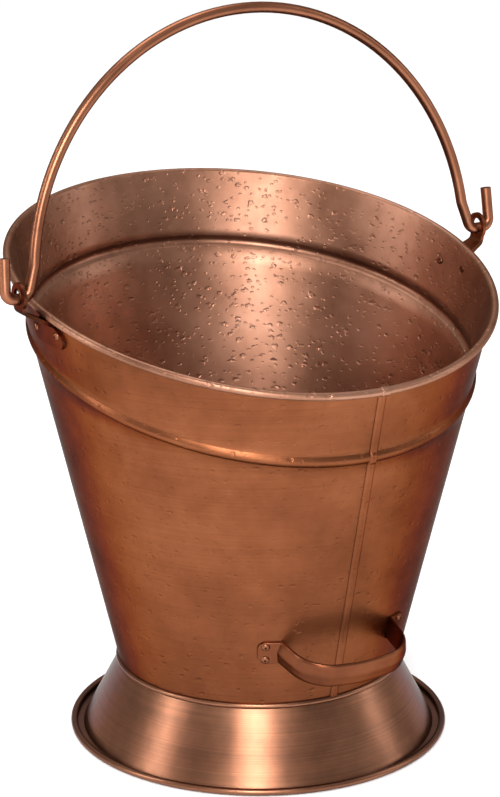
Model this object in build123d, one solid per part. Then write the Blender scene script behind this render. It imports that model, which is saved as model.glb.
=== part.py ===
# Log bucket: a tapered sheet-metal bucket with a slanted wired rim, on a flared foot, with a
# swinging bail and a fixed strap handle for tipping it out.
# Millimetres. The origin is the centre of the face that the foot rests on, +Z is up, the bail
# swings about an axis along X, and the lock seam and the tipping handle face -Y.
import os
from math import atan, atan2, cos, degrees, pi, radians, sin, tan

from build123d import *

# Bucket body
base_radius = 92.0            # outer radius of the body's cone, carried down to z = 0
cone_rise = 0.24              # growth of the outer radius for each millimetre of height
sheet = 0.9                   # thickness of the body sheet
body_bottom = 46.0            # height of the body's lower edge, inside the foot
rim_height = 345.2            # mean height of the rim bead
rim_slope = 0.228             # the rim climbs this much per millimetre towards +Y
rim_bow = -2.8                # how far the rim bows away from a flat plane
meridians = 16                # sections that the body and its rim wire are lofted through
seam_gap_deg = 0.2            # half the gap between the two edges of the sheet, under the seam

# Rolled rim
rim_wire_diameter = 3.8
wire_clearance = 0.1          # between a wire and the sheet rolled round it
rim_curl_end_deg = -110.0     # where the rolled sheet ends, below and outside the wire
roll_step_deg = 30.0          # turn from one flat of the rolled sheet to the next

# Pressed bead below the rim
swage_height = 292.7          # mean height of the bead
swage_slope = 0.2455
swage_bow = -2.4
swage_half_width = 4.1
swage_depth = 2.3
swage_corners = 5             # points that its curve is drawn through

# Lock seam
seam_width = 7.0
seam_depth = 1.2              # how far the folded seam stands out of the wall
seam_block_depth = 3.0        # the same where the seam crosses the pressed bead
rim_collar_wall = 0.5         # the sheet lapped over the rim at the seam

# Bottom plate
floor_height = 57.0           # upper face of the bottom
floor_sheet = 1.0
floor_flange = 9.0            # depth of the turned-down flange
floor_clearance = 0.05

# Foot
foot_radius = 142.0           # to the outside of the rolled edge
foot_sheet = 0.9
foot_wire_diameter = 3.0
foot_flange_radius = 132.5    # where the skirt turns out into the flat flange
foot_curl_end_deg = 165.0     # where the sheet rolled round the foot's wire ends
neck_height = 54.4            # centre of the half-round bead at the top of the skirt
neck_bead_radius = 2.3
neck_clearance = 0.1          # between the skirt's neck and the body
neck_step = 0.9               # small ledge where the skirt leaves the neck bead
neck_step_rise = 0.3

# Ears
eye_height = 360.0            # centre of the eye that the bail hangs in
eye_reach = 194.0             # distance of the eye's plate from the middle of the bucket
eye_bore = 12.0
eye_outside = 20.0
ear_plate = 2.5
ear_pad_width = 42.0
ear_pad_height = 17.0
ear_pad_top = 339.0
ear_neck_width = 14.0
ear_rivet_spacing = 29.5
ear_rivet_drop = 6.5          # from the top of the pad down to the rivets
ear_lower_bend = 3.0          # radii of the two bends, on the middle of the plate
ear_upper_bend = 6.0
ear_bend_drop = 1.0           # from the eye's lower edge down to the upper bend
ear_overrun = 2.0             # of the bent plate past the outline it is trimmed to
ear_sector_deg = 16.0         # width of that plate, round the body
ear_pad_corner = 5.0
ear_pad_shoulder = 3.0        # drop of the pad's upper corners
ear_pad_bulge = 2.0           # how far below its middle the pad is widest
ear_neck_flare = 3.0          # how far the neck's hollow stands out of its sides
ear_neck_rise = 4.0           # height of that hollow above the pad

# Tubular rivets
rivet_shank = 4.0
rivet_head = 6.4
rivet_head_height = 1.5
rivet_dimple = 1.8            # the open centre of the tube
rivet_clench = 5.6
rivet_clench_height = 0.9
rivet_clench_bevel = 0.5
rivet_shoulder = 2.45         # a point that the head's dome passes through, from its axis
rivet_shoulder_height = 1.05
hole_length = 20.0            # of the cutter for a rivet's hole
rivet_clearance = 0.05
plate_clearance = 0.03        # between a riveted plate and the wall

# Bail
bail_wire = 8.0
bail_radius = 181.5           # of the arch, on the middle of the wire
bail_play = 0.3               # between the wire and the bottom of the eye
bail_arch_rise = 1.7          # height of the arch's centre above the pivot
bail_leg_end = 24.0           # height above the pivot where the arch ends and the hook begins
bail_kink_drop = 3.2
bail_hook_inner = 187.2       # corner inside the eye
bail_hook_outer = 204.5       # corner outside the eye
bail_tip_reach = 203.2
bail_tip_height = 29.5
bail_kink_radius = 15.0
bail_inner_bend = 7.0
bail_outer_bend = 6.5
bail_tip_chamfer = 0.8
bail_lean_deg = 6.9           # the bail rests leaning towards the high lip

# Tipping handle
grip_width = 18.4             # of the strap
grip_plate = 1.6
grip_height = 100.7           # middle of the pads, on the wall
grip_fold = 45.5              # half the distance between the two folds
grip_root = 4.0               # how far the strap runs past the folds before it is trimmed
grip_corner_x = 41.5
grip_corner_reach = 35.5      # of the two corners, measured square to the wall
grip_peak_reach = 42.5
grip_corner_radius = 26.0
grip_crown_radius = 100.0
grip_dish = 1.2               # how far the strap's face is crowned
pad_length = 17.5
pad_corner_radius = 5.0
pad_rivet_inset = 6.0         # from the pad's outer end
pad_rivet_spacing = 11.0

# Worked out from the sizes above
taper = atan(cone_rise)
taper_deg = degrees(taper)
curl_inside = rim_wire_diameter / 2 + wire_clearance
curl_outside = curl_inside + sheet
foot_curl_inside = foot_wire_diameter / 2 + wire_clearance
foot_curl_outside = foot_curl_inside + foot_sheet
pivot_height = eye_height - eye_bore / 2 + bail_wire / 2 + bail_play


def wall_radius(z):
    """Outer radius of the body at a height."""
    return base_radius + cone_rise * z


def on_wall(z, out):
    """A point of a meridian, a distance out from the wall's outer face, square to it."""
    return (wall_radius(z) + out * cos(taper), z - out * sin(taper))


def slanted(phi, mean, slope, bow):
    """Height of a slanted line on the cone, at an angle round from the high lip."""
    z = mean
    for _ in range(40):
        z = mean + slope * wall_radius(z) * cos(phi) + bow * cos(2 * phi)
    return z


def rim_level(phi):
    return slanted(phi, rim_height, rim_slope, rim_bow)


def swage_level(phi):
    return slanted(phi, swage_height, swage_slope, swage_bow)


def curl_centre(phi):
    """Centre of the rim's wire in a meridian."""
    z = rim_level(phi)
    return (wall_radius(z) + curl_inside, z)


def polar(centre, radius, angle_deg):
    a = radians(angle_deg)
    return (centre[0] + radius * cos(a), centre[1] + radius * sin(a))


def arcs(centre, radius, start_deg, end_deg, count):
    """Arcs of a circle, each under a half turn."""
    step = (end_deg - start_deg) / count
    edges = []
    for i in range(count):
        a = start_deg + step * i
        edges.append(ThreePointArc(polar(centre, radius, a), polar(centre, radius, a + step / 2),
                                   polar(centre, radius, a + step)))
    return edges


def rolled(centre, radius, start_deg, end_deg):
    """Corners of the flats that a rolled edge is drawn with."""
    count = round(abs(end_deg - start_deg) / roll_step_deg)
    step = (end_deg - start_deg) / count
    return [polar(centre, radius, start_deg + step * i) for i in range(count + 1)]


def swage_line(middle, out):
    """Points across the pressed bead, from its lower edge up."""
    points = []
    for i in range(swage_corners):
        t = 2 * i / (swage_corners - 1) - 1
        points.append(on_wall(middle + swage_half_width * t, out + swage_depth * (1 - t ** 2)))
    return points


def meridian_plane(phi):
    """The half plane through the axis, local x outwards and local y upwards."""
    return Plane(origin=(0, 0, 0), x_dir=(sin(phi), cos(phi), 0), z_dir=(cos(phi), -sin(phi), 0))


def sheet_section(phi):
    """The body sheet cut in a meridian: wall, pressed bead and the rolled rim."""
    middle = swage_level(phi)
    centre = curl_centre(phi)
    tangent = 180 - taper_deg
    outline = [
        on_wall(body_bottom, 0),
        *swage_line(middle, 0),
        *rolled(centre, curl_inside, tangent, rim_curl_end_deg),
        *rolled(centre, curl_outside, rim_curl_end_deg, tangent),
        *reversed(swage_line(middle, -sheet)),
        on_wall(body_bottom, -sheet),
    ]
    return meridian_plane(phi) * make_face(Polyline(*outline, close=True))


def round_the_rim(section, gap_deg):
    """Loft a meridian section once round the bucket, from the seam to the seam."""
    gap = radians(gap_deg)
    step = (2 * pi - 2 * gap) / meridians
    return loft([section(-pi + gap + step * i) for i in range(meridians + 1)])


def seam():
    """The folded lock seam down the low side, with its block and its collar on the rim."""
    crossing = swage_level(pi)
    top = rim_level(pi) - curl_inside
    neck_top = neck_height + neck_bead_radius + neck_clearance
    ramp = swage_half_width + seam_depth
    outline = Polyline(
        on_wall(body_bottom, -sheet), on_wall(body_bottom, 0), on_wall(neck_top, 0),
        on_wall(neck_top, seam_depth), on_wall(crossing - ramp, seam_depth),
        on_wall(crossing - swage_half_width / 2, seam_block_depth),
        on_wall(crossing + swage_half_width / 2, seam_block_depth),
        on_wall(crossing + ramp, seam_depth), on_wall(top, seam_depth), on_wall(top, -sheet),
        close=True)
    strip = extrude(meridian_plane(pi) * make_face(outline), seam_width / 2, both=True)
    centre = curl_centre(pi)
    ring = Circle(curl_outside + rim_collar_wall) - Circle(curl_inside + sheet / 2)
    collar = extrude(Plane(origin=(0, -centre[0], centre[1]), z_dir=(1, 0, 0)) * ring,
                     seam_width / 2, both=True)
    inside = Cone(wall_radius(0) - sheet / cos(taper), wall_radius(rim_height) - sheet / cos(taper),
                  rim_height, align=(Align.CENTER, Align.CENTER, Align.MIN))
    return strip + (collar - inside)


def wall_frame(azimuth_deg, z):
    """A plane on the outer face of the wall, its z axis square to the wall and outwards."""
    a = radians(azimuth_deg)
    out = Vector(cos(a) * cos(taper), sin(a) * cos(taper), -sin(taper))
    level_dir = Vector(-sin(a), cos(a), 0)
    return Plane(origin=(wall_radius(z) * cos(a), wall_radius(z) * sin(a), z), x_dir=level_dir, z_dir=out)


def rivet(frame, plate):
    """A tubular rivet through a plate that lies on the wall: dished head outside, clench inside."""
    inner = -sheet - rivet_clearance
    clench = inner - rivet_clench_height
    seat = plate + plate_clearance
    crown = seat + rivet_head_height
    half = Polyline(
        (rivet_dimple / 2, clench), (rivet_clench / 2 - rivet_clench_bevel, clench),
        (rivet_clench / 2, inner - rivet_clench_height / 2), (rivet_clench / 2, inner),
        (rivet_shank / 2, inner), (rivet_shank / 2, seat), (rivet_head / 2, seat))
    dome = ThreePointArc((rivet_head / 2, seat), (rivet_shoulder, seat + rivet_shoulder_height),
                         (rivet_dimple / 2, crown))
    bore = Line((rivet_dimple / 2, crown), (rivet_dimple / 2, clench))
    outline = Face(Wire([*half.edges(), dome.edge(), bore.edge()]))
    return frame * revolve(Plane.XZ * outline, Axis.Z)


def rivet_holes(frames):
    """Shank holes through the wall and whatever lies on it."""
    hole = Cylinder(rivet_shank / 2 + rivet_clearance, hole_length)
    return [frame * hole for frame in frames]


def wall_cone(out):
    """The solid cone under the wall's outer face, grown outwards by a plate's thickness."""
    low, high = body_bottom, 2 * rim_height
    outline = Polyline((0, low), on_wall(low, out), on_wall(high, out), (0, high), close=True)
    return revolve(Plane.XZ * make_face(outline), Axis.Z)


def ear_frames(side):
    """Where an ear's two rivets go."""
    z = ear_pad_top - ear_rivet_drop
    turn = degrees(ear_rivet_spacing / 2 / wall_radius(z))
    centre = 0 if side > 0 else 180
    return [wall_frame(centre - turn, z), wall_frame(centre + turn, z)]


def ear_outline():
    """The ear seen square from outside, its eye left open."""
    pad_bottom = ear_pad_top - ear_pad_height
    shoulder = ear_pad_top - ear_pad_shoulder
    pad = ear_pad_width / 2
    corner = pad - ear_pad_corner
    widest = (pad_bottom + ear_pad_top) / 2 - ear_pad_bulge
    neck = ear_neck_width / 2
    hollow = (neck + ear_neck_flare, ear_pad_top + ear_neck_rise)
    flare = eye_height - eye_outside / 2
    half = [
        Line((0, pad_bottom), (corner, pad_bottom)),
        ThreePointArc((corner, pad_bottom), (pad, widest), (corner, shoulder)),
        ThreePointArc((corner, shoulder), hollow, (neck, flare)),
        Line((neck, flare), (neck, eye_height)),
        Line((neck, eye_height), (0, eye_height)),
    ]
    other_half = [mirror(edge, about=Plane.YZ).edge() for edge in half]
    plate = make_face(Wire([*half, *other_half]))
    eye = Pos(0, eye_height)
    return plate + eye * Circle(eye_outside / 2) - eye * Circle(eye_bore / 2)


def ear(side):
    """Stamped ear: a pad on the wall, bent out round the rim bead and up into an eye."""
    half = ear_plate / 2
    mid = half + plate_clearance
    foot = on_wall(ear_pad_top - ear_pad_height - ear_overrun, mid)
    fold = on_wall(ear_pad_top, mid)
    lift = eye_height - eye_outside / 2 - ear_bend_drop
    path = FilletPolyline(foot, fold, (eye_reach, lift), (eye_reach, eye_height + eye_outside),
                          radius=[ear_lower_bend, ear_upper_bend])
    plate = revolve(Plane.XZ * make_face(offset(path, half, side=Side.BOTH)), Axis.Z, ear_sector_deg)
    plate = Rot(Z=-ear_sector_deg / 2) * plate
    shape = plate & extrude(Plane.YZ * ear_outline(), 2 * eye_reach)
    if side < 0:
        shape = mirror(shape, about=Plane.YZ)
    return shape - rivet_holes(ear_frames(side))


def bottom_plate():
    """A dished disc, its flange turned down inside the body."""
    def inner(z):
        return wall_radius(z) - sheet / cos(taper) - floor_clearance
    low = floor_height - floor_flange
    outline = Polyline(
        (0, floor_height), (inner(floor_height), floor_height), (inner(low), low),
        (inner(low) - floor_sheet, low), (inner(floor_height) - floor_sheet, floor_height - floor_sheet),
        (0, floor_height - floor_sheet), close=True)
    return revolve(Plane.XZ * make_face(outline), Axis.Z)


def foot_curl_centre():
    return (foot_radius - foot_curl_outside, foot_curl_outside)


def foot_skirt():
    """Spun skirt: half-round neck bead, straight flare, flat flange and an edge rolled round a wire."""
    top = neck_height + neck_bead_radius
    low = neck_height - neck_bead_radius
    neck_in = neck_bead_radius - foot_sheet
    seat = neck_clearance
    centre = (on_wall(neck_height, seat)[0], neck_height)
    outer_top = (wall_radius(top) + seat, top)
    outer_low = (wall_radius(low) + seat, low)
    inner_top = (wall_radius(neck_height + neck_in) + seat, neck_height + neck_in)
    inner_low = (wall_radius(neck_height - neck_in) + seat, neck_height - neck_in)
    ledge = (outer_low[0] + neck_step, low + neck_step_rise)
    bead = [
        ThreePointArc(outer_top, (centre[0] + neck_bead_radius, neck_height), ledge),
        Line(ledge, outer_low),
        Line(outer_low, inner_low),
        ThreePointArc(inner_low, (centre[0] + neck_in, neck_height), inner_top),
        Line(inner_top, outer_top),
    ]
    curl = foot_curl_centre()
    flare = atan2(foot_flange_radius - outer_low[0], low - foot_sheet)
    slant = foot_sheet / cos(flare)
    skirt = Polyline(
        (outer_low[0], low + foot_sheet), ledge, (foot_flange_radius, foot_sheet),
        (curl[0], foot_sheet), (curl[0], 0), (foot_flange_radius - slant, 0),
        (outer_low[0], low - slant / tan(flare)), close=True)
    roll = [
        *arcs(curl, foot_curl_outside, -90, foot_curl_end_deg, 3),
        Line(polar(curl, foot_curl_outside, foot_curl_end_deg),
             polar(curl, foot_curl_inside, foot_curl_end_deg)),
        *arcs(curl, foot_curl_inside, foot_curl_end_deg, -90, 3),
        Line(polar(curl, foot_curl_inside, -90), polar(curl, foot_curl_outside, -90)),
    ]
    profiles = [Face(Wire(bead)), make_face(skirt), Face(Wire(roll))]
    return Part() + [revolve(Plane.XZ * profile, Axis.Z) for profile in profiles]


def foot_wire():
    return revolve(Plane.XZ * Pos(*foot_curl_centre()) * Circle(foot_wire_diameter / 2), Axis.Z)


def rim_wire_section(phi):
    return meridian_plane(phi) * Pos(*curl_centre(phi)) * Circle(rim_wire_diameter / 2)


def bail():
    """Round wire: a half-circle arch whose ends hook out through the eyes and turn up."""
    leg_rise = bail_leg_end - bail_arch_rise
    leg_x = (bail_radius ** 2 - leg_rise ** 2) ** 0.5
    kink = (leg_x + bail_kink_drop * leg_rise / bail_radius, bail_leg_end - bail_kink_drop)
    hook = FilletPolyline(
        (leg_x, bail_leg_end), kink, (bail_hook_inner, 0), (bail_hook_outer, 0),
        (bail_tip_reach, bail_tip_height), radius=[bail_kink_radius, bail_inner_bend, bail_outer_bend])
    arch = ThreePointArc((leg_x, bail_leg_end), (0, bail_radius + bail_arch_rise), (-leg_x, bail_leg_end))
    other_hook = mirror(hook, about=Plane.YZ)
    path = Plane.XZ * Wire([*hook.edges(), arch.edge(), *other_hook.edges()])
    reach = bail_tip_reach - bail_hook_outer
    start = Plane(origin=(bail_tip_reach, 0, bail_tip_height), z_dir=(-reach, 0, -bail_tip_height))
    wire = sweep(start * Circle(bail_wire / 2), path=path)
    return Pos(0, 0, pivot_height) * Rot(X=-bail_lean_deg) * wire


def pad_frames():
    """Where the tipping handle's rivets go: two at each pad, one above the other."""
    frames = []
    for side in (-1, 1):
        for step in (-0.5, 0.5):
            z = grip_height + step * pad_rivet_spacing * cos(taper)
            reach = pad_length - pad_rivet_inset
            azimuth = -90 + side * (fold_turn() + degrees(reach / wall_radius(z)))
            frames.append(wall_frame(azimuth, z))
    return frames


def fold_turn():
    """Angle round from the seam to a fold of the handle."""
    return degrees(atan2(grip_fold, (wall_radius(grip_height) ** 2 - grip_fold ** 2) ** 0.5))


def tipping_handle():
    """Strap handle: two pads on the wall and a crowned grip standing off it."""
    wall = wall_radius(grip_height)
    depth = (wall ** 2 - grip_fold ** 2) ** 0.5
    grip_plane = Plane(origin=(0, -depth, grip_height), x_dir=(1, 0, 0), z_dir=(0, -sin(taper), cos(taper)))
    root_x = grip_fold + grip_root * (grip_fold - grip_corner_x) / grip_corner_reach
    path = FilletPolyline(
        (-root_x, grip_root), (-grip_corner_x, -grip_corner_reach), (0, -grip_peak_reach),
        (grip_corner_x, -grip_corner_reach), (root_x, grip_root),
        radius=[grip_corner_radius, grip_crown_radius, grip_corner_radius])
    route = grip_plane * path
    half = grip_width / 2
    start = Plane(origin=route @ 0, x_dir=grip_plane.z_dir, z_dir=route % 0)
    strap = [
        Line((-half, 0), (half, 0)),
        Line((half, 0), (half, grip_plate)),
        ThreePointArc((half, grip_plate), (0, grip_plate + grip_dish), (-half, grip_plate)),
        Line((-half, grip_plate), (-half, 0)),
    ]
    section = start * Face(Wire(strap))
    grip = sweep(section, path=route)
    shape = grip
    for side in (-1, 1):
        turn = degrees(pad_length / 2 / wall)
        frame = wall_frame(-90 + side * (fold_turn() + turn), grip_height)
        pad = RectangleRounded(pad_length, grip_width, pad_corner_radius)
        pad += Pos(-side * pad_length / 4, 0) * Rectangle(pad_length / 2, grip_width)
        shape += frame * extrude(pad, 2 * grip_plate, both=True) & wall_cone(grip_plate)
    shape -= wall_cone(plate_clearance)
    return shape - rivet_holes(pad_frames())


def body_shell():
    body = round_the_rim(sheet_section, seam_gap_deg) + seam()
    frames = ear_frames(1) + ear_frames(-1) + pad_frames()
    return body - rivet_holes(frames)


def build():
    return {
        "body_shell": body_shell(),
        "rim_wire": round_the_rim(rim_wire_section, seam_gap_deg),
        "bottom_plate": bottom_plate(),
        "foot_skirt": foot_skirt(),
        "foot_wire": foot_wire(),
        "ear_right": ear(1),
        "ear_left": ear(-1),
        "ear_rivets_right": Compound(children=[rivet(frame, ear_plate) for frame in ear_frames(1)]),
        "ear_rivets_left": Compound(children=[rivet(frame, ear_plate) for frame in ear_frames(-1)]),
        "tipping_handle": tipping_handle(),
        "handle_rivets": Compound(children=[rivet(frame, grip_plate) for frame in pad_frames()]),
        "bail": bail(),
    }


os.makedirs("parts", exist_ok=True)
for name, shape in build().items():
    export_step(shape, f"parts/{name}.step")
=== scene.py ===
from math import atan, cos, degrees, pi, radians, sin

import bpy
import numpy as np
from mathutils import Matrix, Vector


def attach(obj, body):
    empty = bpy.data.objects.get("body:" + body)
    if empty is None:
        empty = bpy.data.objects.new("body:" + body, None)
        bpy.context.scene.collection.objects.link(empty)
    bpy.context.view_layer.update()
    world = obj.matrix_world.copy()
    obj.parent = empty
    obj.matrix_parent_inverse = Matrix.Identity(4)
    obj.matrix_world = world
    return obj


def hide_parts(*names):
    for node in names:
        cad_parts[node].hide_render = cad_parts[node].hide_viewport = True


MM = 0.001

# Wall of the bucket, as in the CAD model
BASE_RADIUS = 92.0
CONE_RISE = 0.24
SHEET = 0.9
BODY_BOTTOM = 46.0
NECK_TOP = 56.8
TAPER = atan(CONE_RISE)
RIM = (345.2, 0.228, -2.8)            # mean height, slope and bow of the slanted line
SWAGE = (292.7, 0.2455, -2.4)         # the same for the pressed bead
SLANT_STEPS = 40                      # passes that settle a slanted line on the cone

# Pressed bead and rolled rim
SWAGE_HALF = 4.1                      # half the bead's height in the CAD model
SWAGE_DEPTH = 2.3
BEAD_HALF = 4.4                       # half the height of the bead as shown
CURL_INSIDE = 2.0
CURL_END = -110.0

# Lock seam
SEAM_WIDTH = 7.0
SEAM_DEPTH = 1.6                      # 0.4 more than in the CAD model
SEAM_BLOCK = 3.0                      # how far it stands out where it crosses the bead
SEAM_RAMP = 1.6                       # how far past the CAD model's bead the block begins to rise
SEAM_FLAT = 0.35                      # share of its half width before its sides round off
SEAM_SINK = 0.3                       # depth of its edges in the wall
SEAM_END = 3.6                        # from the rim's middle down to its upper end
COLLAR_FLAT = 0.8
COLLAR_SINK = 0.2
COLLAR_RISE = 0.75                    # height of its middle over its edges
COLLAR_TURN = (-115, 200)             # angles round the rim bead, in degrees

# Tipping handle
GRIP_WIDTH = 18.4
GRIP_PLATE = 1.6
GRIP_CROWN = 1.9                      # 0.7 more than in the CAD model
GRIP_FLUTE = 0.12
GRIP_FLUTES = 2.5                     # half waves of the flutes, from the middle to an edge
GRIP_EDGE = 0.9                       # radius of the strap's edges
GRIP_HEIGHT = 100.7
GRIP_FOLD = 45.5
GRIP_CORNERS = ((-45.95, 4.0), (-41.5, -35.5), (0.0, -42.5), (41.5, -35.5), (45.95, 4.0))
GRIP_RADII = (26.0, 100.0, 26.0)
GRIP_GAP = 1.0                        # between points along the strap
PAD_LENGTH = 17.5
PAD_CORNER = 6.5                      # 1.5 more than in the CAD model
PAD_EDGE = 0.7
PAD_SINK = -0.1                       # where a pad's edge lies, just under the wall's face

# Ears
EAR_BEVEL = 0.0004
BEVEL_ANGLE = 40

# Rows and columns of the shown meshes
BODY_STEPS = 540                      # meridians
WALL_ROWS = 24
BEAD_COLUMNS = 25
BAND_ROWS = 10                        # between the bead and the rim, both ends left out
CURL_INSIDE_ROWS = 30
CURL_OUTSIDE_ROWS = 36
INNER_COLUMNS = CURL_OUTSIDE_ROWS + BAND_ROWS - 2 + BEAD_COLUMNS + WALL_ROWS - 1
SEAM_ROWS = 30
RAMP_ROWS = 9
SEAM_TOP_ROWS = 8
SEAM_COLUMNS = 33
COLLAR_ROWS = 48
COLLAR_COLUMNS = 25
STRAP_COLUMNS = 41
PAD_ROWS = 30
MIN_CORNER_POINTS = 4

# Camera fitted to the photograph
CAMERA_AT = (-1.08807, -1.79332, 0.91671)
CAMERA_RIGHT = (0.856395, -0.516320, -0.000366)
CAMERA_UP = (0.155792, 0.257729, 0.953575)
CAMERA_BACK = (-0.49226, -0.81669, 0.30116)
CAMERA_LENS = 135.04
CAMERA_SENSOR = 36.0
CAMERA_REACH = 50.0

# Metal. The edge tint is far darker than real copper is when it is seen nearly edge on: it paints
# shade on the bucket's left and right sides.
EDGE_SHADE_TINT = (0.17, 0.17, 0.16, 1.0)
LACQUER_ROUGHNESS = 0.3
MOTTLE_SCALE = 14.0
MOTTLE_DETAIL = 6.0
MOTTLE_ROUGHNESS = 0.62
MOTTLE_STOPS = (0.3, 0.5, 0.72)       # where the dark, middle and light colours lie
GRAIN_SCALE = 90.0
GRAIN_DETAIL = 4.0
GRAIN_HEIGHT = 0.0004
GRAIN_STRENGTH = 0.1
POLISH_SPREAD = (-0.05, 0.07)         # least and most added to the roughness
WAVE_SCALE = 22.0                     # slight unevenness of sheet worked by hand
WAVE_HEIGHT = 0.0012
WAVE_STRENGTH = 0.5
BRUSH_STRETCH = (6.0, 6.0, 1500.0)
BRUSH_DETAIL = 3.0
BRUSH_HEIGHT = 0.0003
BRUSH_BAND = (0.3, 0.7)
BRUSH_DARKEN = 0.7
BRUSH_LIGHTEN = 0.4
POCK_RAGGED_SCALE = 3.5
POCK_RAGGED_REACH = 0.42
POCK_FLATTEN = (1.0, 1.0, 1.5)
POCK_EDGE = (0.12, 0.3)
OUTSIDE_POCKS = ((115.0, 0.4, 0.00022), (210.0, 0.36, 0.00014))   # scale, share kept, depth
INSIDE_POCKS = ((105.0, 0.6, 0.00027), (180.0, 0.75, 0.0002))

# Floor, lamps and world
FLOOR_HALF = 30.0
FLOOR_DROP = 0.0005
FLOOR_ROUGHNESS = 0.9
FLOOR_SPECKLE = 3.0
FLOOR_DARK = (0.94, 0.94, 0.94, 1)
FLOOR_LIGHT = (0.98, 0.98, 0.98, 1)
MIDDLE = (0, 0, 0.22)                 # the point that the lamps face
WHITE_STRENGTH = 0.98                 # what the camera and diffuse rays see
ROOM_STRENGTH = 0.5                   # what glossy rays see, darker than the background
ROOM_LOW = (0.3, 0.3, 0.3, 1)
ROOM_HIGH = (1, 1, 1, 1)

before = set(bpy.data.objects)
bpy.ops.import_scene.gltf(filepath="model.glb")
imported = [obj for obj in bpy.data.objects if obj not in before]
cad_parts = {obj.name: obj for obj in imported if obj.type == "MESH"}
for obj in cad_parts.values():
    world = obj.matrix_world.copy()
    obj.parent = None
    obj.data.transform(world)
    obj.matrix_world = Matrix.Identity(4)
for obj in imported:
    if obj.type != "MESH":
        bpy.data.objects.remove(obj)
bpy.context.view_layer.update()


def wall_radius(z):
    return BASE_RADIUS + CONE_RISE * z


def on_wall(z, out):
    """Radius and height of a point a distance out from the wall's outer face."""
    return (wall_radius(z) + out * cos(TAPER), z - out * sin(TAPER))


def slanted(phi, line):
    """Height of a slanted line on the wall, phi round from the high lip."""
    mean, slope, bow = line
    z = np.full_like(phi, mean)
    for _ in range(SLANT_STEPS):
        z = mean + slope * wall_radius(z) * np.cos(phi) + bow * np.cos(2 * phi)
    return z


def at_seam(line):
    """Height of a slanted line where it meets the lock seam."""
    return float(slanted(np.array([pi]), line)[0])


def mesh_object(name, points, closed_u, closed_v, body, node=None):
    """A smooth mesh from a grid of points, in millimetres, that rides on a body."""
    rows, columns = points.shape[:2]
    index = np.arange(rows * columns).reshape(rows, columns)
    here = index if closed_u else index[:-1]
    following = np.roll(index, -1, 0) if closed_u else index[1:]
    if closed_v:
        quads = np.stack([here, np.roll(here, -1, 1), np.roll(following, -1, 1), following], -1)
    else:
        quads = np.stack([here[:, :-1], here[:, 1:], following[:, 1:], following[:, :-1]], -1)
    mesh = bpy.data.meshes.new(name)
    vertices = (points.reshape(-1, 3) * MM).tolist()
    mesh.from_pydata(vertices, [], quads.reshape(-1, 4).tolist())
    mesh.polygons.foreach_set("use_smooth", [True] * len(mesh.polygons))
    mesh.update()
    made = bpy.data.objects.new(name, mesh)
    bpy.context.scene.collection.objects.link(made)
    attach(made, body)
    if node:
        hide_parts(node)
    return made


# Materials
def node_tree(name):
    material = bpy.data.materials.new(name)
    material.use_nodes = True
    return material, material.node_tree


def noise(tree, source, scale, detail=2.0, roughness=0.5):
    made = tree.nodes.new("ShaderNodeTexNoise")
    made.inputs["Scale"].default_value = scale
    made.inputs["Detail"].default_value = detail
    made.inputs["Roughness"].default_value = roughness
    tree.links.new(source, made.inputs["Vector"])
    return made


def bump(tree, height, normal, strength, distance):
    """A bump over another one, or over the plain surface where normal is None."""
    made = tree.nodes.new("ShaderNodeBump")
    made.inputs["Strength"].default_value = strength
    made.inputs["Distance"].default_value = distance
    tree.links.new(height, made.inputs["Height"])
    if normal is not None:
        tree.links.new(normal, made.inputs["Normal"])
    return made


def remap(tree, value, source, target):
    """A number moved from one range to another."""
    made = tree.nodes.new("ShaderNodeMapRange")
    made.inputs["From Min"].default_value = source[0]
    made.inputs["From Max"].default_value = source[1]
    made.inputs["To Min"].default_value = target[0]
    made.inputs["To Max"].default_value = target[1]
    tree.links.new(value, made.inputs["Value"])
    return made


def pock_marks(tree, place, normal, scale, share, depth):
    """Scattered dents with ragged outlines, wider than they are high."""
    nodes, links = tree.nodes, tree.links
    ragged = noise(tree, place, scale * POCK_RAGGED_SCALE)
    shift = nodes.new("ShaderNodeVectorMath")
    shift.operation = "MULTIPLY_ADD"
    shift.inputs[1].default_value = (POCK_RAGGED_REACH / scale,) * 3
    links.new(ragged.outputs["Color"], shift.inputs[0])
    links.new(place, shift.inputs[2])
    flatten = nodes.new("ShaderNodeMapping")
    flatten.inputs["Scale"].default_value = POCK_FLATTEN
    links.new(shift.outputs["Vector"], flatten.inputs["Vector"])
    cells = nodes.new("ShaderNodeTexVoronoi")
    cells.inputs["Scale"].default_value = scale
    links.new(flatten.outputs["Vector"], cells.inputs["Vector"])
    spot = remap(tree, cells.outputs["Distance"], POCK_EDGE, (1.0, 0.0))
    spot.interpolation_type = "SMOOTHSTEP"
    pick = nodes.new("ShaderNodeSeparateColor")
    links.new(cells.outputs["Color"], pick.inputs["Color"])
    keep = nodes.new("ShaderNodeMath")
    keep.operation = "LESS_THAN"
    keep.inputs[1].default_value = share
    links.new(pick.outputs["Red"], keep.inputs[0])
    marks = nodes.new("ShaderNodeMath")
    marks.operation = "MULTIPLY"
    links.new(spot.outputs["Result"], marks.inputs[0])
    links.new(keep.outputs["Value"], marks.inputs[1])
    dent = bump(tree, marks.outputs["Value"], normal, 1.0, depth)
    dent.invert = True
    return dent.outputs["Normal"]


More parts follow.
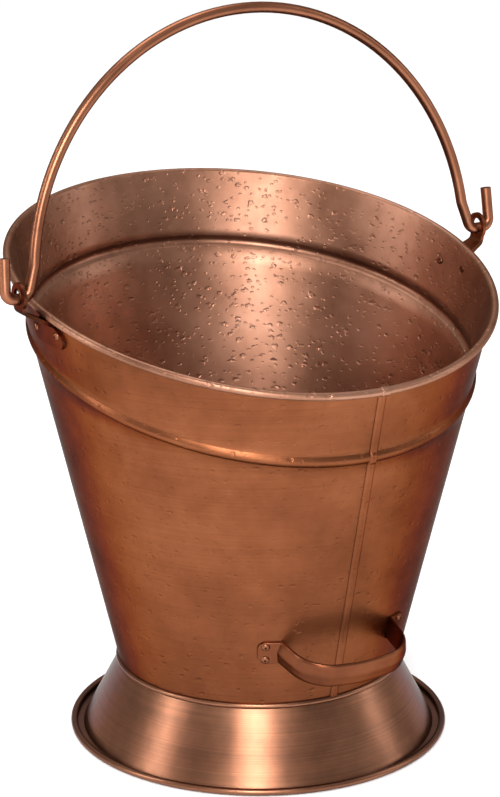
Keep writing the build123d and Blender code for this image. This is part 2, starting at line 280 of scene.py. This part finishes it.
def copper(name, dark, mid, light, rough, pocks=(), streaks=0.0, lacquer=0.15):
    """Metal sheet: mottled colour, uneven polish, scattered pock marks and fine brushing."""
    material, tree = node_tree(name)
    nodes, links = tree.nodes, tree.links
    shader = nodes["Principled BSDF"]
    shader.inputs["Metallic"].default_value = 1.0
    # The dark edge tint is painted shade on faces seen nearly edge on
    shader.inputs["Specular Tint"].default_value = EDGE_SHADE_TINT
    shader.inputs["Coat Weight"].default_value = lacquer
    shader.inputs["Coat Roughness"].default_value = LACQUER_ROUGHNESS
    place = nodes.new("ShaderNodeTexCoord").outputs["Object"]
    mottle = noise(tree, place, MOTTLE_SCALE, MOTTLE_DETAIL, MOTTLE_ROUGHNESS)
    ramp = nodes.new("ShaderNodeValToRGB")
    stops = ramp.color_ramp.elements
    stops[0].position = MOTTLE_STOPS[0]
    stops[0].color = (*dark, 1)
    stops[1].position = MOTTLE_STOPS[2]
    stops[1].color = (*light, 1)
    stops.new(MOTTLE_STOPS[1]).color = (*mid, 1)
    links.new(mottle.outputs["Fac"], ramp.inputs["Fac"])
    colour = ramp.outputs["Color"]
    grain = noise(tree, place, GRAIN_SCALE, GRAIN_DETAIL).outputs["Fac"]
    least, most = POLISH_SPREAD
    polish = remap(tree, grain, (0.0, 1.0), (rough + least, rough + most))
    links.new(polish.outputs["Result"], shader.inputs["Roughness"])
    fine = bump(tree, grain, None, GRAIN_STRENGTH, GRAIN_HEIGHT)
    uneven = noise(tree, place, WAVE_SCALE).outputs["Fac"]
    wavy = bump(tree, uneven, fine.outputs["Normal"], WAVE_STRENGTH, WAVE_HEIGHT)
    normal = wavy.outputs["Normal"]
    if streaks:
        stretch = nodes.new("ShaderNodeMapping")
        stretch.inputs["Scale"].default_value = BRUSH_STRETCH
        links.new(place, stretch.inputs["Vector"])
        brush = noise(tree, stretch.outputs["Vector"], 1.0, BRUSH_DETAIL).outputs["Fac"]
        spread = (1.0 - BRUSH_DARKEN * streaks, 1.0 + BRUSH_LIGHTEN * streaks)
        worn = remap(tree, brush, BRUSH_BAND, spread)
        shade = nodes.new("ShaderNodeVectorMath")
        shade.operation = "SCALE"
        links.new(colour, shade.inputs[0])
        links.new(worn.outputs["Result"], shade.inputs["Scale"])
        colour = shade.outputs["Vector"]
        normal = bump(tree, brush, normal, streaks, BRUSH_HEIGHT).outputs["Normal"]
    links.new(colour, shader.inputs["Base Color"])
    for scale, share, depth in pocks:
        normal = pock_marks(tree, place, normal, scale, share, depth)
    links.new(normal, shader.inputs["Normal"])
    return material


body_copper = copper(
    "body_copper", (0.14, 0.042, 0.016), (0.2, 0.063, 0.025), (0.26, 0.087, 0.036), 0.36,
    pocks=OUTSIDE_POCKS, streaks=0.15, lacquer=0.06)
# A lighter, paler copy of the body's copper: painted light on the inner face, the outside of the
# rolled rim and the seam's collar
painted_light_copper = copper(
    "painted_light_copper", (0.21, 0.09, 0.052), (0.33, 0.155, 0.095), (0.43, 0.215, 0.14), 0.4,
    pocks=INSIDE_POCKS, lacquer=0.2)
foot_copper = copper(
    "foot_copper", (0.17, 0.06, 0.026), (0.25, 0.096, 0.045), (0.33, 0.138, 0.07), 0.3,
    streaks=0.32, lacquer=0.5)
fitting_copper = copper(
    "fitting_copper", (0.085, 0.026, 0.012), (0.17, 0.054, 0.024), (0.25, 0.086, 0.038), 0.33,
    lacquer=0.05)
rivet_copper = copper(
    "rivet_copper", (0.13, 0.046, 0.024), (0.2, 0.075, 0.04), (0.28, 0.11, 0.06), 0.36,
    lacquer=0.05)
bail_copper = copper(
    "bail_copper", (0.19, 0.07, 0.037), (0.3, 0.115, 0.06), (0.38, 0.155, 0.085), 0.34,
    lacquer=0.1)
steel_wire = copper(
    "steel_wire", (0.2, 0.19, 0.18), (0.3, 0.29, 0.28), (0.38, 0.37, 0.36), 0.45)


def dress(thing, material):
    thing.data.materials.clear()
    thing.data.materials.append(material)


# Body sheet
def body_grid(steps):
    """The sheet cut in many meridians: outer face, pressed bead, rolled rim and inner face."""
    phi = np.linspace(-pi, pi, steps, endpoint=False)[:, None]
    crossing = slanted(phi, SWAGE)
    rim = slanted(phi, RIM)
    below = crossing - BEAD_HALF
    above = crossing + BEAD_HALF
    columns = []

    def bead(t):
        return SWAGE_DEPTH * cos(pi / 2 * t) if abs(t) < 1 else 0.0

    def curl(radius, angles_deg):
        for a in np.radians(angles_deg):
            columns.append((centre + radius * cos(a), rim + radius * sin(a)))

    rises = np.linspace(0, 1, WALL_ROWS)
    band = np.linspace(0, 1, BAND_ROWS)[1:-1]
    across = np.linspace(-1, 1, BEAD_COLUMNS)
    centre = wall_radius(rim) + CURL_INSIDE
    start = 180 - degrees(TAPER)
    for t in rises[:-1]:
        columns.append(on_wall(BODY_BOTTOM + t * (below - BODY_BOTTOM), 0))
    for t in across:
        columns.append(on_wall(crossing + BEAD_HALF * t, bead(t)))
    for t in band:
        columns.append(on_wall(above + t * (rim - above), 0))
    curl(CURL_INSIDE, np.linspace(start, CURL_END, CURL_INSIDE_ROWS))
    curl(CURL_INSIDE + SHEET, np.linspace(CURL_END, start, CURL_OUTSIDE_ROWS))
    for t in band[::-1]:
        columns.append(on_wall(above + t * (rim - above), -SHEET))
    for t in across[::-1]:
        columns.append(on_wall(crossing + BEAD_HALF * t, bead(t) - SHEET))
    for t in rises[::-1][1:]:
        columns.append(on_wall(BODY_BOTTOM + t * (below - BODY_BOTTOM), -SHEET))
    r = np.concatenate([column[0] for column in columns], 1)
    z = np.concatenate([column[1] for column in columns], 1)
    return np.stack([r * np.sin(phi), r * np.cos(phi), z], -1)


body = mesh_object("body_shell_sheet", body_grid(BODY_STEPS), True, True, "bucket", "body_shell")
dress(body, body_copper)
body.data.materials.append(painted_light_copper)
body_columns = len(body.data.vertices) // BODY_STEPS
# The sheet's inner face, which runs on round the outside of the rolled rim, takes the lighter copper:
# painted light
inner_start = body_columns - INNER_COLUMNS
sides = [int(i % body_columns >= inner_start) for i in range(len(body.data.polygons))]
body.data.polygons.foreach_set("material_index", sides)


# Lock seam
def shoulder(t, flat):
    """1 in the middle of a strip, falling along a quarter ellipse to 0 at its edges."""
    edge = max(0.0, abs(t) - flat) / (1 - flat)
    return max(0.0, 1 - edge ** 2) ** 0.5


def seam_path():
    """Heights on the wall, with how far the seam stands out at each."""
    crossing = at_seam(SWAGE)
    half_block = SWAGE_HALF / 2
    ramp = SWAGE_HALF + SEAM_RAMP
    climb = SEAM_BLOCK - SEAM_DEPTH
    path = []
    for z in np.linspace(NECK_TOP, crossing - ramp, SEAM_ROWS):
        path.append((z, SEAM_DEPTH))
    for t in np.linspace(0, 1, RAMP_ROWS)[1:]:
        rise = 0.5 - 0.5 * cos(pi * t)
        path.append((crossing - ramp + t * (ramp - half_block), SEAM_DEPTH + rise * climb))
    for t in np.linspace(0, 1, RAMP_ROWS):
        fall = 0.5 + 0.5 * cos(pi * t)
        path.append((crossing + half_block + t * (ramp - half_block), SEAM_DEPTH + fall * climb))
    for z in np.linspace(crossing + ramp, at_seam(RIM) - SEAM_END, SEAM_TOP_ROWS)[1:]:
        path.append((z, SEAM_DEPTH))
    return path


def seam_grid():
    """The folded seam, up the wall and over the pressed bead."""
    path = seam_path()
    across = np.sin(np.linspace(-pi / 2, pi / 2, SEAM_COLUMNS))
    grid = np.zeros((len(path), len(across), 3))
    for i, (height, depth) in enumerate(path):
        for j, t in enumerate(across):
            x = SEAM_WIDTH / 2 * t
            out = -SEAM_SINK + (depth + SEAM_SINK) * shoulder(t, SEAM_FLAT)
            r, z = on_wall(height, out)
            grid[i, j] = (x, -(r ** 2 - x ** 2) ** 0.5, z)
    return grid


def collar_grid():
    """The end of the seam, lapped round the rim bead."""
    rim = at_seam(RIM)
    centre = wall_radius(rim) + CURL_INSIDE
    angles = np.radians(np.linspace(*COLLAR_TURN, COLLAR_ROWS))
    across = np.linspace(-1, 1, COLLAR_COLUMNS)
    grid = np.zeros((len(angles), len(across), 3))
    for i, a in enumerate(angles):
        for j, t in enumerate(across):
            x = SEAM_WIDTH / 2 * t
            radius = CURL_INSIDE + SHEET - COLLAR_SINK + COLLAR_RISE * shoulder(t, COLLAR_FLAT)
            r = centre + radius * cos(a)
            grid[i, j] = (x, -(r ** 2 - x ** 2) ** 0.5, rim + radius * sin(a))
    return grid


seam = mesh_object("seam_strip", seam_grid(), False, False, "bucket")
dress(seam, body_copper)
collar = mesh_object("seam_collar", collar_grid(), False, False, "bucket")
# The collar takes the lighter copper too: painted light on the rim
dress(collar, painted_light_copper)


# Tipping handle
def rounded_path(corners, radii, gap):
    """Points along a line whose inner corners are rounded."""
    points = [np.array(corners[0])]
    for before, corner, after, radius in zip(corners, corners[1:], corners[2:], radii):
        before, corner, after = np.array(before), np.array(corner), np.array(after)
        to_start = (before - corner) / np.linalg.norm(before - corner)
        to_end = (after - corner) / np.linalg.norm(after - corner)
        half = np.arccos(np.dot(to_start, to_end)) / 2
        middle = to_start + to_end
        centre = corner + middle / np.linalg.norm(middle) * radius / sin(half)
        first = corner + to_start * radius / np.tan(half) - centre
        last = corner + to_end * radius / np.tan(half) - centre
        span = np.arccos(np.clip(np.dot(first, last) / radius ** 2, -1, 1))
        count = max(MIN_CORNER_POINTS, int(radius * span / gap))
        for t in np.linspace(0, 1, count):
            turned = np.sin((1 - t) * span) * first + np.sin(t * span) * last
            points.append(centre + turned / np.sin(span))
    points.append(np.array(corners[-1]))
    return np.array(points)


def edge_round(distance, radius):
    """0 at an edge, 1 from a radius inwards, along a quarter circle."""
    inside = np.clip(distance / radius, 0, 1)
    return (1 - (1 - inside) ** 2) ** 0.5


def fold_depth():
    """How far the two folds of the strap lie in front of the bucket's axis."""
    return (wall_radius(GRIP_HEIGHT) ** 2 - GRIP_FOLD ** 2) ** 0.5


def grip_section():
    """The strap cut across: how far up and how far out each point lies."""
    half = GRIP_WIDTH / 2
    across = half * np.sin(np.linspace(-pi / 2, pi / 2, STRAP_COLUMNS))
    thickness = edge_round(half - np.abs(across), GRIP_EDGE)
    flutes = GRIP_FLUTE * np.cos(GRIP_FLUTES * pi * across / half)
    crown = GRIP_PLATE + GRIP_CROWN * (1 - (across / half) ** 2) + flutes
    middle = GRIP_PLATE / 2
    outer = middle + (crown - middle) * thickness
    inner = middle - middle * thickness
    return [*zip(across, outer), *list(zip(across, inner))[::-1][1:-1]]


def grip_grid():
    """The strap's crowned grip, swept round its rounded corners."""
    path = rounded_path(GRIP_CORNERS, GRIP_RADII, GRIP_GAP)
    tangent = np.gradient(path, axis=0)
    tangent /= np.linalg.norm(tangent, axis=1)[:, None]
    outward = np.stack([tangent[:, 1], -tangent[:, 0]], 1)
    section = grip_section()
    depth = fold_depth()
    grid = np.zeros((len(path), len(section), 3))
    for i, (point, out) in enumerate(zip(path, outward)):
        for j, (rise, off) in enumerate(section):
            u, v = point + out * off
            grid[i, j] = (u, -depth + v * cos(TAPER) - rise * sin(TAPER),
                          GRIP_HEIGHT + v * sin(TAPER) + rise * cos(TAPER))
    return grid


def pad_grid(side):
    """One of the strap's pads, bent to the wall, its outer end rounded."""
    fold = np.arctan2(GRIP_FOLD, fold_depth())
    lengths = PAD_LENGTH * np.sin(np.linspace(0, pi / 2, PAD_ROWS))
    across = np.sin(np.linspace(-pi / 2, pi / 2, STRAP_COLUMNS))
    grid = np.zeros((len(lengths), len(across), 3))
    for i, length in enumerate(lengths):
        from_end = PAD_LENGTH - length
        cut = PAD_CORNER - (PAD_CORNER ** 2 - max(0.0, PAD_CORNER - from_end) ** 2) ** 0.5
        half = GRIP_WIDTH / 2 - cut
        azimuth = -pi / 2 + side * (fold + length / wall_radius(GRIP_HEIGHT))
        for j, t in enumerate(across):
            rise = half * t
            thickness = min(edge_round(half - abs(rise), PAD_EDGE), edge_round(from_end, PAD_EDGE))
            out = PAD_SINK + (GRIP_PLATE - PAD_SINK) * thickness
            r, z = on_wall(GRIP_HEIGHT + rise * cos(TAPER), out)
            grid[i, j] = (r * cos(azimuth), r * sin(azimuth), z)
    return grid if side < 0 else grid[::-1]


grip = mesh_object("tipping_grip", grip_grid(), False, True, "bucket", "tipping_handle")
dress(grip, fitting_copper)
for side, place in ((-1, "left"), (1, "right")):
    pad = mesh_object(f"tipping_pad_{place}", pad_grid(side), False, False, "bucket")
    dress(pad, fitting_copper)

# The CAD model's own pieces
SLOTS = {
    "bottom_plate": (body_copper, "body_copper"),
    "foot_skirt": (foot_copper, "foot_copper"),
    "foot_wire": (steel_wire, "steel_wire"),
    "rim_wire": (steel_wire, "steel_wire"),
    "ear_right": (fitting_copper, "fitting_copper"),
    "ear_left": (fitting_copper, "fitting_copper"),
    "ear_rivets_right": (rivet_copper, "rivet_copper"),
    "ear_rivets_left": (rivet_copper, "rivet_copper"),
    "handle_rivets": (rivet_copper, "rivet_copper"),
    "bail": (bail_copper, "bail_copper"),
}
for name, (material, slot) in SLOTS.items():
    dress(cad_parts[name], material)

for name in ("ear_right", "ear_left"):
    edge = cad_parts[name].modifiers.new("soft_edges", "BEVEL")
    edge.width = EAR_BEVEL
    edge.segments = 2
    edge.limit_method = "ANGLE"
    edge.angle_limit = radians(BEVEL_ANGLE)

# Floor
floor_mesh = bpy.data.meshes.new("floor")
floor_corners = [(FLOOR_HALF * x, FLOOR_HALF * y, 0) for x, y in ((-1, -1), (1, -1), (1, 1), (-1, 1))]
floor_mesh.from_pydata(floor_corners, [], [(0, 1, 2, 3)])
floor = bpy.data.objects.new("floor", floor_mesh)
floor.location.z = -FLOOR_DROP
bpy.context.scene.collection.objects.link(floor)
floor_paint, floor_tree = node_tree("floor_paint")
floor_shader = floor_tree.nodes["Principled BSDF"]
floor_shader.inputs["Roughness"].default_value = FLOOR_ROUGHNESS
speckle = floor_tree.nodes.new("ShaderNodeTexNoise")
speckle.inputs["Scale"].default_value = FLOOR_SPECKLE
tint = floor_tree.nodes.new("ShaderNodeValToRGB")
tint.color_ramp.elements[0].color = FLOOR_DARK
tint.color_ramp.elements[1].color = FLOOR_LIGHT
floor_tree.links.new(speckle.outputs["Fac"], tint.inputs["Fac"])
floor_tree.links.new(tint.outputs["Color"], floor_shader.inputs["Base Color"])
floor_mesh.materials.append(floor_paint)


# Lamps
def area_light(name, at, size, watts):
    """A rectangular lamp that faces the middle of the bucket."""
    light = bpy.data.lights.new(name, "AREA")
    light.shape = "RECTANGLE"
    light.size = size[0]
    light.size_y = size[1]
    light.energy = watts
    lamp = bpy.data.objects.new(name, light)
    lamp.location = at
    lamp.rotation_mode = "QUATERNION"
    lamp.rotation_quaternion = (Vector(MIDDLE) - Vector(at)).to_track_quat("-Z", "Y")
    bpy.context.scene.collection.objects.link(lamp)


area_light("key_high", (-0.95, -1.45, 1.5), (0.4, 0.7), 24)
area_light("key_low", (-1.9, -3.1, 1.1), (1.3, 1.9), 60)
area_light("left", (-2.4, 0.5, 1.2), (0.4, 1.7), 20)
area_light("right", (2.2, -1.1, 1.2), (0.35, 1.7), 8)
area_light("top", (0.1, 0.5, 2.3), (1.3, 1.0), 16)

# World. Glossy rays see a grey room, lighter upwards, and all other rays see white.
world = bpy.data.worlds.new("studio")
bpy.context.scene.world = world
world.use_nodes = True
sky = world.node_tree
sky.nodes.clear()
sky_output = sky.nodes.new("ShaderNodeOutputWorld")
white = sky.nodes.new("ShaderNodeBackground")
white.inputs["Color"].default_value = (1, 1, 1, 1)
white.inputs["Strength"].default_value = WHITE_STRENGTH
room = sky.nodes.new("ShaderNodeBackground")
room.inputs["Strength"].default_value = ROOM_STRENGTH
toward = sky.nodes.new("ShaderNodeTexCoord")
split = sky.nodes.new("ShaderNodeSeparateXYZ")
sky.links.new(toward.outputs["Generated"], split.inputs["Vector"])
upward = remap(sky, split.outputs["Z"], (-1.0, 1.0), (0.0, 1.0))
bands = sky.nodes.new("ShaderNodeValToRGB")
bands.color_ramp.elements[0].color = ROOM_LOW
bands.color_ramp.elements[1].color = ROOM_HIGH
sky.links.new(upward.outputs["Result"], bands.inputs["Fac"])
sky.links.new(bands.outputs["Color"], room.inputs["Color"])
seen = sky.nodes.new("ShaderNodeLightPath")
choose = sky.nodes.new("ShaderNodeMixShader")
sky.links.new(seen.outputs["Is Glossy Ray"], choose.inputs[0])
sky.links.new(white.outputs["Background"], choose.inputs[1])
sky.links.new(room.outputs["Background"], choose.inputs[2])
sky.links.new(choose.outputs["Shader"], sky_output.inputs["Surface"])

# Camera
camera_data = bpy.data.cameras.new("camera")
camera_data.lens = CAMERA_LENS
camera_data.sensor_width = CAMERA_SENSOR
camera_data.clip_end = CAMERA_REACH
camera = bpy.data.objects.new("camera", camera_data)
turn = Matrix((CAMERA_RIGHT, CAMERA_UP, CAMERA_BACK)).transposed().to_4x4()
camera.matrix_world = Matrix.Translation(CAMERA_AT) @ turn
bpy.context.scene.collection.objects.link(camera)
bpy.context.scene.camera = camera
bpy.context.scene.view_settings.view_transform = "Standard"
